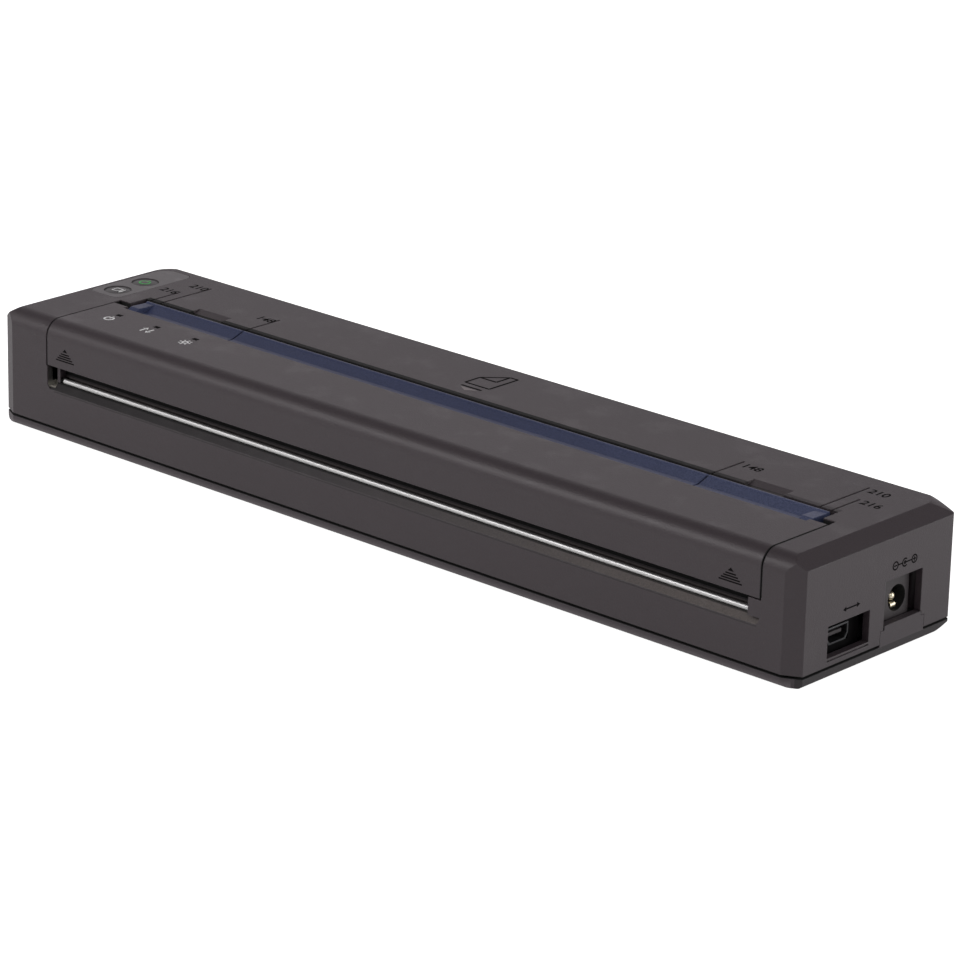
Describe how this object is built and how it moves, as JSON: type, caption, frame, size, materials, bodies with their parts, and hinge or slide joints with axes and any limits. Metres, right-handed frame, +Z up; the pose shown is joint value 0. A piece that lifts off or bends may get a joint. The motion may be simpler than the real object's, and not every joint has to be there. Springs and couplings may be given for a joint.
{
  "type": "portable thermal printer",
  "caption": "Slim stick-shaped portable thermal printer for full-size sheets, with a hinged release cover, paper slot, feed platen, gear drive, key panel and side sockets.",
  "frame": {"origin": "on the table, under the centre of the case's outline", "axes": "+X along the printer's length, from the key panel's end to the sockets' end; +Y from the paper exit to the back; +Z up"},
  "size_m": [0.255, 0.055, 0.03],
  "materials": {
    "case_black": "fine moulded grain",
    "base_black": "fine moulded grain",
    "cover_black": "fine moulded grain",
    "guide_blue": "satin moulded",
    "panel_grey": "smooth membrane",
    "key_grey": "smooth",
    "inner_black": "moulded",
    "board_green": "solder mask",
    "board_black": "solder mask",
    "switch_metal": "satin",
    "head_ceramic": "glazed ceramic",
    "bracket_aluminium": "extruded",
    "spring_steel": "drawn wire",
    "bolt_steel": "turned",
    "lens_smoke": "smoked lens",
    "pin_steel": "ground",
    "bar_steel": "polished",
    "frame_steel": "zinc plated",
    "bush_plastic": "natural acetal",
    "platen_rubber": "ground rubber",
    "gear_plastic": "natural acetal",
    "pinion_brass": "hobbed",
    "motor_steel": "plated can",
    "socket_metal": "stamped",
    "socket_black": "moulded",
    "contact_metal": "plated",
    "battery_black": "moulded",
    "foot_rubber": "soft rubber",
    "screw_steel": "black zinc"
  },
  "bodies": {
    "case": {"upper_case": "case_black", "bottom_case": "base_black", "control_panel": "panel_grey", "key_board": "board_green", "key_switches": "switch_metal", "hinge_pins": "pin_steel", "lower_guide": "inner_black", "tear_bar": "bar_steel", "paper_sensor": "socket_black", "left_frame": "frame_steel", "right_frame": "frame_steel", "platen_bushes": "bush_plastic", "gear_stud": "pin_steel", "stud_clip": "spring_steel", "feed_motor": "motor_steel", "motor_screws": "screw_steel", "socket_board": "board_black", "data_socket": "socket_metal", "data_tongue": "socket_black", "power_socket": "socket_black", "power_pin": "contact_metal", "power_contact": "contact_metal", "main_board": "board_green", "battery": "battery_black", "battery_contacts": "socket_black", "rubber_feet": "foot_rubber", "case_screws": "screw_steel", "frame_screws": "screw_steel"},
    "cover": {"release_cover": "cover_black", "paper_guide": "guide_blue", "thermal_head": "head_ceramic", "head_bracket": "bracket_aluminium", "head_springs": "spring_steel", "head_bolts": "bolt_steel", "signal_lenses": "lens_smoke", "signal_board": "board_green"},
    "platen": {"platen_core": "pin_steel", "platen_rubber": "platen_rubber", "platen_gear": "gear_plastic"},
    "reduction": {"reduction_gear": "gear_plastic"},
    "rotor": {"motor_pinion": "pinion_brass", "motor_shaft": "pin_steel"},
    "power_key": {"power_key": "key_grey"},
    "feed_key": {"feed_key": "key_grey"},
    "battery_door": {"battery_door": "base_black"}
  },
  "joints": [
    {"name": "cover_hinge", "type": "hinge", "parent": "case", "child": "cover", "pos_m": [0.0032, -0.0042, 0.0276], "axis": [-1, 0, 0], "range_deg": [0, 50]},
    {"name": "platen_spin", "type": "hinge", "parent": "case", "child": "platen", "pos_m": [0.0032, -0.008, 0.0122], "axis": [1, 0, 0], "continuous": true},
    {"name": "reduction_spin", "type": "hinge", "parent": "case", "child": "reduction", "pos_m": [-0.112, 0.00078, 0.01418], "axis": [1, 0, 0], "continuous": true},
    {"name": "rotor_spin", "type": "hinge", "parent": "case", "child": "rotor", "pos_m": [-0.112, 0.0127, 0.0128], "axis": [1, 0, 0], "continuous": true},
    {"name": "power_key_press", "type": "slide", "parent": "case", "child": "power_key", "axis": [0, 0, -1], "range_m": [0, 0.0005], "stiffness_N_per_m": 400, "springref_m": -0.001},
    {"name": "feed_key_press", "type": "slide", "parent": "case", "child": "feed_key", "axis": [0, 0, -1], "range_m": [0, 0.0005], "stiffness_N_per_m": 400, "springref_m": -0.001},
    {"name": "battery_door_lift", "type": "slide", "parent": "case", "child": "battery_door", "axis": [0, 0, -1], "range_m": [0, 0.02]}
  ],
  "couplings": [
    {"joint": "reduction_spin", "follows": "platen_spin", "ratio": -1.5714},
    {"joint": "rotor_spin", "follows": "platen_spin", "ratio": 4.7143}
  ]
}
